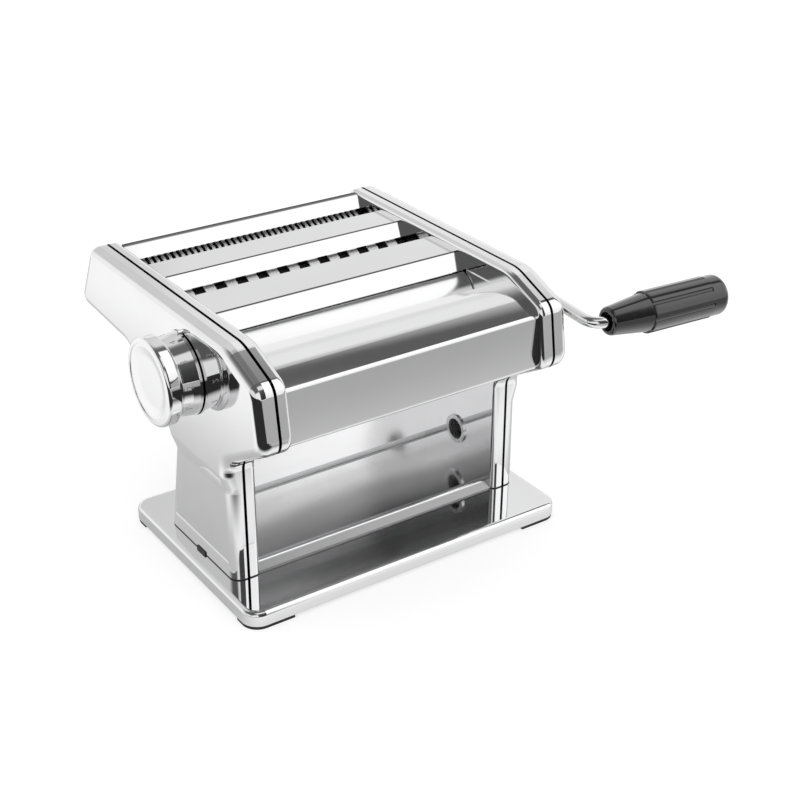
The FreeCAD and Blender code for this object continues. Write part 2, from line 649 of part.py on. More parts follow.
# Side frame: a pressed pan; the wall faces the rollers and the rim turns outwards
def make_side_frame(name, side):
    hollow = frame_block(
        f"{name}_hollow", side, wall_back, "frame_sheet", "frame_bend - frame_sheet"
    )
    body = frame_block(name, side, wall, None, "frame_bend")
    hollow_out(body, hollow)
    holes = new_sketch(body, "YZ_Plane", f"{side}*{wall}")
    for y, z, radius in shaft_holes(side):
        circle(holes, y, z, radius)
    pocket(body, holes, "frame_sheet + seat_gap", Reversed=side > 0)
    feet = new_sketch(body, "XY_Plane", deck)
    for y in ("-base_screw_spread", "base_screw_spread"):
        circle(feet, f"{side}*{leg_middle}", y, "screw_radius + seat_gap")
    pocket(body, feet, "frame_sheet + seat_gap", Reversed=True)


def cover_block(name, side, depth, inset, edge):
    """A solid in the form of a cover: the outline of the sides, its face stepped in at the leg."""
    body = new_body(name)
    outline = outline_profile(body, f"{side}*{cover_rim}", inset)
    pad(body, outline, depth, Reversed=side < 0)
    step = new_sketch(body, "XZ_Plane")
    low, high = f"({step_z} - step_height/2)", f"({step_z} + step_height/2)"
    face, leg = f"{side}*({cover_rim} + {depth})", f"{side}*({cover_rim} + {depth} - leg_step)"
    outside = f"{side}*({cover_rim} + 2*{depth})"
    corners = [(leg, "0"), (leg, low), (face, high), (outside, high), (outside, "0")]
    draw(step, corners)
    cut = pocket(body, step, "4*base_width", SideType="Symmetric")
    x_face, x_leg, z_low, z_high = size(face), size(leg), size(low), size(high)

    def on_crease(p):
        lower = abs(p.x - x_leg) < 1e-6 and abs(p.z - z_low) < 1e-6
        return lower or (abs(p.x - x_face) < 1e-6 and abs(p.z - z_high) < 1e-6)

    creases = edges_at(cut.Shape, on_crease)
    eased = dress(body, "Fillet", cut, creases, Radius="step_round")
    floor = size(deck if inset is None else f"{deck} + {inset}")
    across = size("2*step_round")
    rim = [
        f"Edge{number}"
        for number, e in enumerate(eased.Shape.Edges, start=1)
        if min(side * e.BoundBox.XMin, side * e.BoundBox.XMax) > side * x_leg - 1e-6
        and e.BoundBox.ZMax > floor + 1e-6
        and not (e.BoundBox.YLength > across and z_low - across < e.CenterOfMass.z < z_high + across
                 and e.BoundBox.ZLength < 1e-6)
    ]
    dress(body, "Fillet", eased, rim, Radius=edge)
    return body


# Cover: a pressed pan that closes the side; its face steps in at the top of the leg
def make_cover(name, side, holes):
    hollow = cover_block(
        f"{name}_hollow", side, "(cover_depth - cover_sheet)", "cover_sheet", "cover_edge - cover_sheet"
    )
    body = cover_block(name, side, "cover_depth", None, "cover_edge")
    hollow_out(body, hollow)
    sketch = new_sketch(body, "YZ_Plane", f"{side}*{cover_face}")
    for y, z, radius in holes:
        circle(sketch, y, z, radius)
    pocket(body, sketch, "cover_sheet + seat_gap", Reversed=side < 0)


ring_outer = "(shaft_radius + moving_gap + ring_wall)"
index_y = "(axle_y - index_shift)"
index_z = f"({axle_z} + knob_edge + moving_gap + index_radius)"
make_base_plate()
make_rubber_feet()
make_side_frame("left_side_frame", -1)
make_side_frame("right_side_frame", 1)
make_cover(
    "left_cover",
    -1,
    [
        ("axle_y", axle_z, "axle_journal + moving_gap"),
        (index_y, index_z, "index_radius + seat_gap"),
    ],
)
driven_axes = [(front_y, front_z), (wide_front_y, wide_z), (fine_front_y, fine_z)]
make_cover("right_cover", 1, [(y, z, f"{ring_outer} + seat_gap") for y, z in driven_axes])


# Cover clips: small tabs on the deck that hold the foot of each cover
def make_cover_clips():
    clips = []
    for side in (-1, 1):
        clip = new_body(f"cover_clip_{len(clips)}")
        sketch = new_sketch(clip, "XY_Plane", deck)
        x_in, x_out = f"{side}*{leg_face}", f"{side}*({leg_face} + clip_sheet)"
        draw(sketch, rectangle(x_in, x_out, "-clip_length/2", "clip_length/2"))
        pad(clip, sketch, "clip_height")
        clips.append(clip)
    group("cover_clips", clips)


make_cover_clips()

# Chute: one bent sheet, a front lip, a floor just above the deck and a back that leans forward
bent_sheet(
    "dough_chute",
    [
        ("-chute_front - chute_lip", deck),
        ("-chute_front", f"{deck} + chute_lift", "chute_bend"),
        ("chute_rear", f"{deck} + chute_lift", "chute_bend"),
        ("chute_top", f"{head_base} + chute_rise"),
    ],
    "trim_sheet",
    side=-1,
)

# Front cover: rises over the front roller, folds at the nose and hangs down as an apron
bent_sheet(
    "front_cover",
    [
        (f"{front_y} + hood_back", f"{rim_z} - hood_back_drop"),
        (f"{front_y} - hood_crest", f"{rim_z} - hood_crest_drop", "hood_round"),
        (hood_fold_y, hood_fold_z, "hood_bend"),
        (f"{hood_fold_y} - apron_lean", f"{hood_fold_z} - apron_length", "hood_bend"),
        (f"{hood_fold_y} + apron_hem", f"{hood_fold_z} - apron_length - apron_hem_drop"),
    ],
    "trim_sheet",
    side=-1,
)

# Bars between the mouths: flat tops, a sloping lip in front and an edge turned down behind
for name, start, width, lip_run, lip_drop in (
    ("front_bar", front_bar_y, "front_bar_width", "front_lip_run", "front_lip_drop"),
    ("rear_bar", rear_bar_y, "rear_bar_width", "middle_lip_run", "middle_lip_drop"),
):
    bent_sheet(
        name,
        [
            (f"{start} - {lip_run}", f"{bar_top} - {lip_drop}"),
            (start, bar_top, "bar_bend"),
            (f"{start} + {width}", bar_top, "bar_bend"),
            (f"{start} + {width}", f"{bar_top} - bar_back_drop"),
        ],
        "trim_sheet",
    )

# Rear wall: an inner lip, a rounded top edge and a back that follows the slope of the sides
rear_wall_y = f"({fine_rear_y} + tail_top - rear_wall_inset)"
bent_sheet(
    "rear_wall",
    [
        (f"{rear_wall_y} - rear_lip_run", f"{rim_z} - rear_lip_drop"),
        (rear_wall_y, rim_z, "bar_bend"),
        (f"{tail_y} - rear_wall_tuck", f"{tail_z} + rear_wall_lift"),
    ],
    "trim_sheet",
)


# End cheeks: thin plates on the side frames that close the ends of the mouth between the rollers
def make_end_cheeks():
    cheeks = []
    front, rear = f"{front_y} + cheek_front", f"{front_y} + cheek_front + cheek_length"
    top, foot = f"{rim_z} - cheek_top", f"{rim_z} - cheek_top - cheek_height"
    for side in (-1, 1):
        cheek = new_body(f"cheek_{len(cheeks)}")
        sketch = new_sketch(cheek, "YZ_Plane", f"{side}*{wall}")
        draw(sketch, [(front, top), (front, foot, "cheek_round"), (rear, foot, "cheek_round"), (rear, top)])
        pad(cheek, sketch, "cheek_sheet", Reversed=side > 0)
        cheeks.append(cheek)
    group("roller_end_cheeks", cheeks)


make_end_cheeks()


def turned(name, profile, y="0", z="0"):
    """A piece turned about an axis along x at y and z."""
    body = new_body(name, "0", y, z)
    turn(body, profile)
    return body


def ring(start, end, inner, outer):
    return [(start, inner), (end, inner), (end, outer), (start, outer)]


def shaft_profile(core, left, right, right_radius):
    """A core as long as the rollers, a plain journal on the left and another on the right."""
    return [
        (f"-{left}", "0"),
        (f"-{left}", "idler_radius"),
        (f"-{roller_end}", "idler_radius"),
        (f"-{roller_end}", core),
        (roller_end, core),
        (roller_end, right_radius),
        (right, right_radius),
        (right, "0"),
    ]


def cut_socket(body):
    """A drive socket in the right end of a shaft: a bore and two slots for the crank's pin."""
    bore = new_sketch(body, "YZ_Plane", socket_mouth)
    circle(bore, "0", "0", socket_bore)
    pocket(body, bore, "socket_depth")
    slots = new_sketch(body, "YZ_Plane", socket_mouth)
    bind(slots, AttachmentOffset__Rotation__Angle="crank_droop")
    draw(slots, rectangle("-slot_width/2", "slot_width/2", "-slot_reach", "slot_reach"))
    pocket(body, slots, "slot_depth")


pitch_across = {"roller": "(2*roller_radius + roller_mean_gap)", "cutter": cutter_centres}


def make_gear(name, kind, start, bore, y, z, turned_by="0"):
    """A spur gear: a ring and one tapered tooth, repeated round the axis."""
    pitch = f"({pitch_across[kind]}/2)"
    root, tip = f"({pitch} - {kind}_gear_sink)", f"({pitch} + {kind}_gear_rise)"
    gear = new_body(name, "0", y, z)
    disc = new_sketch(gear, "YZ_Plane", start)
    circle(disc, "0", "0", root)
    circle(disc, "0", "0", bore)
    pad(gear, disc, "gear_width")
    flank = new_sketch(gear, "YZ_Plane", start)
    bind(flank, AttachmentOffset__Rotation__Angle=turned_by)
    sunk = f"({root} - tooth_sink)"
    draw(
        flank,
        [
            (sunk, f"-{kind}_tooth_root/2"),
            (tip, f"-{kind}_tooth_tip/2"),
            (tip, f"{kind}_tooth_tip/2"),
            (sunk, f"{kind}_tooth_root/2"),
        ],
    )
    tooth = pad(gear, flank, "gear_width")
    polar(gear, tooth, f"{kind}_teeth")


# Front roller: a tube with eased edges on its own shaft, which ends in a drive socket
turned(
    "front_roller",
    [
        (f"-{roller_end}", "roller_bore"),
        (roller_end, "roller_bore"),
        (roller_end, "roller_radius", "roller_ease"),
        (f"-{roller_end}", "roller_radius", "roller_ease"),
    ],
    front_y,
    front_z,
)
plain_end = f"({wall_back} + flange_sheet + shaft_stub)"
gear_end = f"({gear_x} + gear_width + shaft_stub)"
front_shaft = turned(
    "front_roller_shaft",
    shaft_profile("roller_bore - seat_gap", plain_end, socket_mouth, "shaft_radius"),
    front_y,
    front_z,
)
cut_socket(front_shaft)
make_gear("front_roller_gear", "roller", gear_x, "shaft_radius + seat_gap", front_y, front_z)

# Rear roller: its bore runs on floating bushes and its hub passes the right side frame
bush_bore = "(bush_radius + running_gap)"
hub_end = f"({gear_x} + gear_width)"
turned(
    "rear_roller",
    [
        (f"-{roller_end}", bush_bore),
        (hub_end, bush_bore),
        (hub_end, "hub_radius"),
        (roller_end, "hub_radius"),
        (roller_end, "roller_radius", "roller_ease"),
        (f"-{roller_end}", "roller_radius", "roller_ease"),
    ],
    rear_y,
    rear_z,
)
half_turn = "180 + 180/roller_teeth"
make_gear("rear_roller_gear", "roller", gear_x, "hub_radius + seat_gap", rear_y, rear_z, half_turn)
bush_inner = "axle_rod + running_gap"
left_bush = ring(f"-{roller_end}", f"-{roller_end} + bush_length", bush_inner, "bush_radius")
right_bush = ring(f"{hub_end} - bush_length", hub_end, bush_inner, "bush_radius")
group(
    "rear_roller_bushes",
    [
        turned("floating_bush_left", left_bush, rear_y, rear_z),
        turned("floating_bush_right", right_bush, rear_y, rear_z),
    ],
)


def at_knob(depth):
    """A place along x, as a depth from the back of the knob."""
    return f"-({knob_back} + {depth})"


# Eccentric axle: a spigot with two flats for the knob, a journal, the offset rod and a small far journal
def make_eccentric_axle():
    journal_inner = f"-({roller_end} + axle_shoulder)"
    spigot_tip = at_knob(spigot_end)
    journal_outer = at_knob("(web_start - web_gap)")
    axle = turned(
        "eccentric_axle",
        [
            (spigot_tip, "0"),
            (spigot_tip, "axle_spigot"),
            (journal_outer, "axle_spigot"),
            (journal_outer, "axle_journal"),
            (journal_inner, "axle_journal"),
            (journal_inner, "0"),
        ],
        "axle_y",
        axle_z,
    )
    flats = new_sketch(axle, "YZ_Plane", spigot_tip)
    for sign in (-1, 1):
        low, high = f"{sign}*axle_flat", f"{sign}*axle_journal"
        draw(flats, rectangle("-axle_journal", "axle_journal", low, high))
    pocket(axle, flats, f"{spigot_end} - web_start + web_gap", Reversed=True)
    tapping = new_sketch(axle, "YZ_Plane", spigot_tip)
    circle(tapping, "0", "0", "screw_radius + seat_gap")
    pocket(axle, tapping, "knob_screw_length + screw_end_gap", Reversed=True)
    rod = new_sketch(axle, "YZ_Plane", journal_inner)
    circle(rod, "axle_throw*cos(axle_angle)", "axle_throw*sin(axle_angle)", "axle_rod")
    pad(axle, rod, f"{roller_end} + axle_shoulder + {bridge_x} - rod_end_gap")
    tail = new_sketch(axle, "YZ_Plane", f"{bridge_x} - rod_end_gap")
    circle(tail, "0", "0", "axle_tail")
    pad(axle, tail, "rod_end_gap + bridge_sheet + shaft_stub")


make_eccentric_axle()

# Gear bridge: a plate on three pillars beyond the gears, which carries the axle's far journal
pillar_places = [
    (f"({front_y} + axle_y)/2", f"{front_z} + pillar_rise"),
    (f"({front_y} + axle_y)/2", f"{front_z} - pillar_fall"),
    ("axle_y + pillar_back", f"{axle_z} - pillar_low"),
]


def make_gear_bridge():
    bridge = new_body("gear_bridge")
    sketch = new_sketch(bridge, "YZ_Plane", bridge_x)
    draw(sketch, pillar_places)
    doc.recompute()
    outline = bridge.newObject("PartDesign::SubShapeBinder", "gear_bridge_outline")
    outline.Support = [(sketch, [""])]
    bind(outline, Offset="pillar_edge")
    pad(bridge, outline, "bridge_sheet")
    holes = new_sketch(bridge, "YZ_Plane", f"{bridge_x} + bridge_sheet")
    circle(holes, "axle_y", axle_z, "axle_tail + running_gap")
    for y, z in pillar_places:
        circle(holes, y, z, "rivet_radius + seat_gap")
    pocket(bridge, holes, "2*bridge_sheet")
    pillars = []
    for y, z in pillar_places:
        profile = [
            (wall_back, "0"),
            (wall_back, "pillar_radius"),
            (bridge_x, "pillar_radius"),
            (bridge_x, "rivet_radius"),
            (f"{bridge_x} + bridge_sheet + rivet_stub", "rivet_radius"),
            (f"{bridge_x} + bridge_sheet + rivet_stub", "0"),
        ]
        pillars.append(turned(f"bridge_pillar_{len(pillars)}", profile, y, z))
    group("gear_bridge_pillars", pillars)


make_gear_bridge()


# Bearing bushes: flanged sleeves in the walls, with the flange on the outer side
def make_bush(name, side, radius, y, z):
    inner, outer = f"({radius} + running_gap)", f"({radius} + running_gap + bush_wall)"
    start, seat = f"{side}*{wall}", f"{side}*{wall_back}"
    end = f"{side}*({wall_back} + flange_sheet)"
    profile = [
        (start, inner),
        (end, inner),
        (end, f"{outer} + bush_flange"),
        (seat, f"{outer} + bush_flange"),
        (seat, outer),
        (start, outer),
    ]
    return turned(name, profile, y, z)


make_bush("axle_bush", -1, "axle_journal", "axle_y", axle_z)
group(
    "front_roller_bushes",
    [
        make_bush("front_roller_bush_left", -1, "idler_radius", front_y, front_z),
        make_bush("front_roller_bush_right", 1, "shaft_radius", front_y, front_z),
    ],
)
cutter_bushes = []
for y, z, driven in cutter_axes:
    for side in (-1, 1):
        radius = "shaft_radius" if driven and side > 0 else "idler_radius"
        cutter_bushes.append(make_bush(f"cutter_bush_{len(cutter_bushes)}", side, radius, y, z))
group("cutter_bushes", cutter_bushes)

# Socket rings: flanged sleeves in the right cover, one round each drive socket
socket_rings = []
for y, z in driven_axes:
    inner = "shaft_radius + moving_gap"
    start, flange_end = f"{cover_face} - cover_sheet - ring_tail", f"{cover_face} + ring_sheet"
    profile = [
        (start, inner),
        (flange_end, inner),
        (flange_end, f"{ring_outer} + ring_flange"),
        (cover_face, f"{ring_outer} + ring_flange"),
        (cover_face, ring_outer),
        (start, ring_outer),
    ]
    socket_rings.append(turned(f"socket_ring_{len(socket_rings)}", profile, y, z))
group("drive_socket_rings", socket_rings)


# Cutters: a grooved shaft whose discs pass between the discs of its partner
def make_cutter(name, strip, count, y, z, left, right, right_radius):
    cutter = turned(name, shaft_profile(cutter_core, left, right, right_radius), y, z)
    first = f"(-({count} - 1)*{strip} - {strip}/2 + blade_gap/2)"
    disc = new_sketch(cutter, "YZ_Plane", first)
    circle(disc, "0", "0", "cutter_radius")
    blade = pad(cutter, disc, f"{strip} - blade_gap")
    row_along_x(cutter, blade, f"2*{strip}", count)
    return cutter


# Combs: plates below the cutters whose fingers lie in the grooves
def make_comb(name, strip, gaps, y, z, side):
    comb = new_body(name)
    level = f"{z} - {cutter_core} - comb_gap - comb_sheet"
    inner = f"(sqrt(cutter_radius^2 - ({cutter_core} + comb_gap)^2) + moving_gap)"
    edge = f"{y} + {side}*{inner}"
    back = f"{y} + {side}*({inner} + comb_back)"
    plate = new_sketch(comb, "XY_Plane", level)
    draw(plate, rectangle(f"-{wall}", wall, edge, back))
    pad(comb, plate, "comb_sheet")
    first = f"(-({gaps} - 1)*{strip} - {strip}/2 + comb_side)"
    tip, root = f"{y} - {side}*comb_reach", f"{y} + {side}*({inner} + comb_back/2)"
    tooth = new_sketch(comb, "XY_Plane", level)
    draw(tooth, rectangle(first, f"{first} + {strip} - 2*comb_side", tip, root))
    finger = pad(comb, tooth, "comb_sheet")
    row_along_x(comb, finger, f"2*{strip}", gaps)


half_step = "180 + 180/cutter_teeth"
for kind, front_at, rear_at, z, left, right in (
    ("wide", wide_front_y, wide_rear_y, wide_z, gear_end, plain_end),
    ("fine", fine_front_y, fine_rear_y, fine_z, plain_end, gear_end),
):
    strip = f"{kind}_strip"
    count = f"floor({roller_end}/{strip} + 1/2)"
    driver = make_cutter(
        f"{kind}_cutter_front", strip, count, front_at, z, left, socket_mouth, "shaft_radius"
    )
    cut_socket(driver)
    make_cutter(f"{kind}_cutter_rear", strip, f"({count} - 1)", rear_at, z, left, right, "idler_radius")
    start = gear_x if kind == "fine" else f"-({gear_x} + gear_width)"
    front_bore = "shaft_radius" if kind == "fine" else "idler_radius"
    make_gear(f"{kind}_front_gear", "cutter", start, f"{front_bore} + seat_gap", front_at, z)
    make_gear(f"{kind}_rear_gear", "cutter", start, "idler_radius + seat_gap", rear_at, z, half_step)
    make_comb(f"{kind}_front_comb", strip, f"({count} - 1)", front_at, z, -1)
    make_comb(f"{kind}_rear_comb", strip, f"({count} - 2)", rear_at, z, 1)


# Scrapers: bent blades below the smooth rollers, each with its edge just off the roller
def make_scraper(name, side, y, z, reach):
    tip_y, tip_z = f"{y} + {side}*{reach}*sin(scraper_angle)", f"{z} - {reach}*cos(scraper_angle)"
    fold_y = f"{tip_y} - {side}*scraper_width*cos(scraper_slope)"
    fold_z = f"{tip_z} - scraper_width*sin(scraper_slope)"
    flange_y = f"{fold_y} - {side}*scraper_flange"
    corners = [(tip_y, tip_z), (fold_y, fold_z, "scraper_bend"), (flange_y, fold_z)]
    bent_sheet(name, corners, "scraper_sheet", side=-side)


make_scraper("front_scraper", 1, front_y, front_z, "(roller_radius + scraper_gap)")
make_scraper("rear_scraper", -1, "axle_y", axle_z, "(roller_radius + axle_throw + scraper_gap)")


def screw_profile(seat, side, shank, head, height, length):
    """A round-headed screw whose head seats at x and whose shank runs the other way."""
    tip, top = f"{seat} - {side}*({length})", f"{seat} + {side}*({height})"
    return [
        (tip, "0"),
        (tip, shank),
        (seat, shank),
        (seat, head),
        (top, head, "screw_round"),
        (top, "0"),
    ]


# Tie rods: round bars between the side frames, tapped at both ends, and their screws
def make_tie_rods():
    rods, screws = [], []
    hole, floor = "screw_radius + seat_gap", f"({wall} - screw_length - screw_end_gap)"
    profile = [
        (f"-{wall}", hole),
        (f"-{wall}", "rod_radius"),
        (wall, "rod_radius"),
        (wall, hole),
        (floor, hole),
        (floor, "0"),
        (f"-{floor}", "0"),
        (f"-{floor}", hole),
    ]
    length = "frame_sheet + screw_length"
    for y, z in rod_places:
        rods.append(turned(f"tie_rod_{len(rods)}", profile, y, z))
        for side in (-1, 1):
            shape = screw_profile(
                f"{side}*{wall_back}", side, "screw_radius", "screw_head", "screw_height", length
            )
            screws.append(turned(f"tie_rod_screw_{len(screws)}", shape, y, z))
    group("tie_rods", rods)
    group("tie_rod_screws", screws)


make_tie_rods()


# Base screws: heads under the tray, shanks up through the feet of the side frames
def make_base_screws():
    screws = []
    for side in (-1, 1):
        for y in ("-base_screw_spread", "base_screw_spread"):
            screw = new_body(f"base_screw_{len(screws)}", f"{side}*{leg_middle}", y, f"{deck} - base_sheet")
            head = new_sketch(screw, "XY_Plane")
            circle(head, "0", "0", "screw_head")
            pad(screw, head, "screw_height", Reversed=True)
            shank = new_sketch(screw, "XY_Plane")
            circle(shank, "0", "0", "screw_radius")
            pad(screw, shank, "base_sheet + base_screw_length")
            screws.append(screw)
    group("base_screws", screws)


make_base_screws()

# Clamp socket: a flanged sleeve in the right leg that takes the rod of a table clamp
clamp_inner = f"({wall} - clamp_sheet)"
turned(
    "clamp_socket",
    [
        (clamp_inner, "clamp_radius"),
        (f"{clamp_inner} + clamp_length", "clamp_radius"),
        (f"{clamp_inner} + clamp_length", "clamp_radius + clamp_wall"),
        (wall, "clamp_radius + clamp_wall"),
        (wall, "clamp_radius + clamp_wall + clamp_flange"),
        (clamp_inner, "clamp_radius + clamp_wall + clamp_flange"),
    ],
    "clamp_y",
    clamp_z,
)

# Knob index: a pin in the left cover just above the edge of the knob
turned(
    "knob_index",
    [
        (f"-({cover_face} - cover_sheet)", "0"),
        (f"-({cover_face} - cover_sheet)", "index_radius"),
        (f"-({cover_face} + index_length)", "index_radius", "index_round"),
        (f"-({cover_face} + index_length)", "0"),
    ],
    index_y,
    index_z,
)

# Thickness knob: a thin edge, a tapered skirt, a waist and a broad rim; a web inside slides on the flats
knob = turned(
    "thickness_knob",
    [
        (at_knob("0"), "knob_waist - knob_wall"),
        (at_knob("0"), "knob_edge"),
        (at_knob("knob_edge_width"), "knob_edge"),
        (at_knob("knob_edge_width"), "knob_skirt"),
        (at_knob("knob_skirt_length"), "knob_skirt - knob_taper"),
        (at_knob(f"({knob_length} - knob_rim - knob_flare)"), "knob_waist", "knob_flare"),
        (at_knob(f"({knob_length} - knob_rim)"), "knob_radius", "knob_ease"),
        (at_knob(knob_length), "knob_radius", "knob_round"),
        (at_knob(knob_length), "knob_face_radius + seat_gap"),
        (at_knob(f"({knob_length} - face_inset - knob_face_sheet)"), "knob_face_radius + seat_gap"),
        (at_knob(f"({knob_length} - face_inset - knob_face_sheet)"), "knob_waist - knob_wall"),
        (at_knob("(web_start + knob_web)"), "knob_waist - knob_wall"),
        (at_knob("(web_start + knob_web)"), "0"),
        (at_knob("web_start"), "0"),
        (at_knob("web_start"), "knob_waist - knob_wall"),
    ],
    "axle_y",
    axle_z,
)
key_hole = new_sketch(knob, "YZ_Plane", at_knob("(web_start + knob_web)"))
key_across, key_up = "(axle_spigot + running_gap)", "(axle_flat + running_gap)"
draw(key_hole, rectangle(f"-{key_across}", key_across, f"-{key_up}", key_up))
pocket(knob, key_hole, "2*knob_web", Reversed=True)

# Knob face: a dished disc pressed into the rim
face_back = at_knob(f"({knob_length} - face_inset - knob_face_sheet)")
face_front = at_knob(f"({knob_length} - face_inset)")
face_dish = at_knob(f"({knob_length} - face_inset - knob_dish)")
turned(
    "knob_face",
    [
        (face_back, "0"),
        (face_back, "knob_face_radius"),
        (face_front, "knob_face_radius"),
        (face_front, "knob_face_radius - face_border"),
        (face_dish, "knob_face_radius - face_border - face_slope", "dish_round"),
        (face_dish, "0"),
    ],
    "axle_y",
    axle_z,
)

# Knob screw: its broad head holds the spring that draws the knob home
turned(
    "knob_screw",
    screw_profile(
        at_knob(spigot_end), -1, "screw_radius", "knob_screw_head", "screw_height", "knob_screw_length"
    ),
    "axle_y",
    axle_z,
)


# Knob spring: a coil between the web of the knob and the screw's head
def make_knob_spring():
    spring = new_body("knob_spring", "0", "axle_y", axle_z)
    wire = new_sketch(spring, "XY_Plane")
    start = at_knob("(web_start + knob_web + spring_wire + seat_gap)")
    circle(wire, start, "spring_radius", "spring_wire")
    coil = spring.newObject("PartDesign::AdditiveHelix", "knob_spring_coil")
    coil.Profile = wire
    coil.ReferenceAxis = (wire, ["H_Axis"])
    coil.Mode = "height-turns-angle"
    bind(coil, Height=f"{spring_space} - 2*spring_wire - 2*seat_gap", Turns="spring_turns")
    coil.Reversed = True
    doc.recompute()


make_knob_spring()


# Crank: one bent rod with a pin across its end
def make_crank():
    crank = new_body("crank_rod", "0", wide_front_y, wide_z)
    crank.Placement = FreeCAD.Placement(
        crank.Placement.Base, FreeCAD.Rotation(FreeCAD.Vector(1, 0, 0), size("crank_droop"))
    )
    bind(crank, Placement__Rotation__Angle="crank_droop")
    start = f"({socket_mouth} - socket_depth + socket_end_gap)"
    tail = "(grip_start + crank_tail)"
    path = new_sketch(crank, "XY_Plane")
    corners = [
        (start, "0"),
        (arm_x, "0", "crank_bend"),
        (arm_x, "-crank_arm", "crank_bend"),
        (f"{arm_x} + {tail}*cos(crank_splay)", f"-crank_arm - {tail}*sin(crank_splay)"),
    ]
    draw(path, corners, closed=False)
    section = new_sketch(crank, "YZ_Plane", start)
    circle(section, "0", "0", "crank_rod")
    rod = crank.newObject("PartDesign::AdditivePipe", "crank_rod_pipe")
    rod.Profile = section
    rod.Spine = (path, [""])
    doc.recompute()
    pin = new_sketch(crank, "XY_Plane")
    circle(pin, f"{socket_mouth} - slot_depth + crank_pin + moving_gap", "0", "crank_pin")
    pad(crank, pin, "2*crank_pin_reach", SideType="Symmetric")


make_crank()

# Crank grip: a nose cone and a grooved body that turn on the crank; a plain cap closes the end
grip_bore = "(crank_rod + running_gap)"
grip_end = "(grip_start + grip_length)"
body_start = "(grip_start + grip_cone)"


def on_the_grip(name, profile):
    """A piece turned about the grip's axis, which starts in the arm's plane and leans out."""
    body = new_body(name, arm_x, grip_y, grip_z)
    across_the_crank = FreeCAD.Vector(0, size("sin(crank_droop)"), -size("cos(crank_droop)"))
    lean = FreeCAD.Rotation(across_the_crank, size("crank_splay"))
    body.Placement = FreeCAD.Placement(body.Placement.Base, lean)
    bind(body, Placement__Rotation__Angle="crank_splay")
    turn(body, profile)
    return body


def make_grip():
    grip = on_the_grip(
        "crank_grip",
        [
            ("grip_start", "grip_mouth"),
            ("grip_start", "grip_nose", "grip_nose_round"),
            (body_start, "grip_radius - grip_step"),
            (body_start, "grip_radius", "grip_step/2"),
            (grip_end, "grip_radius"),
            (grip_end, grip_bore),
            ("grip_start + grip_mouth_depth", grip_bore),
            ("grip_start + grip_mouth_depth", "grip_mouth"),
        ],
    )
    section = new_sketch(grip, "YZ_Plane", body_start)
    circle(section, "0", "grip_radius + flute_radius - grip_flute", "flute_radius")
    flute = pocket(grip, section, "grip_length - grip_cone", Reversed=True)
    polar(grip, flute, "grip_flute_count")


make_grip()
on_the_grip(
    "grip_cap",
    [
        (f"{grip_end} - cap_plug", "0"),
        (f"{grip_end} - cap_plug", f"{grip_bore} - seat_gap"),
        (grip_end, f"{grip_bore} - seat_gap"),
        (grip_end, "grip_radius - cap_step"),
        (f"{grip_end} + cap_length", "grip_radius - cap_step", "cap_round"),
        (f"{grip_end} + cap_length", "0"),
    ],
)

doc.recompute()
members = [member for thing in doc.Objects if thing.TypeId == "Part::Compound" for member in thing.Links]
kinds = ("PartDesign::Body", "Part::Compound", "Part::Extrusion")
pieces = [
    thing for thing in doc.Objects
    if thing.TypeId in kinds and thing not in members and not thing.Label.endswith("_hollow")
]
for thing in doc.Objects:
    if "Invalid" in thing.State or "Error" in thing.State:
        raise RuntimeError(f"{thing.Label} did not build")
for piece in pieces:
    if piece.Shape.isNull() or not piece.Shape.isValid():
        raise RuntimeError(f"{piece.Label} has no valid shape")
os.makedirs("parts", exist_ok=True)
for piece in pieces:
    piece.Shape.exportStep(f"parts/{piece.Label}.step")
    print(piece.Label, len(piece.Shape.Solids), round(piece.Shape.Volume, 1))
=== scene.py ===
import math

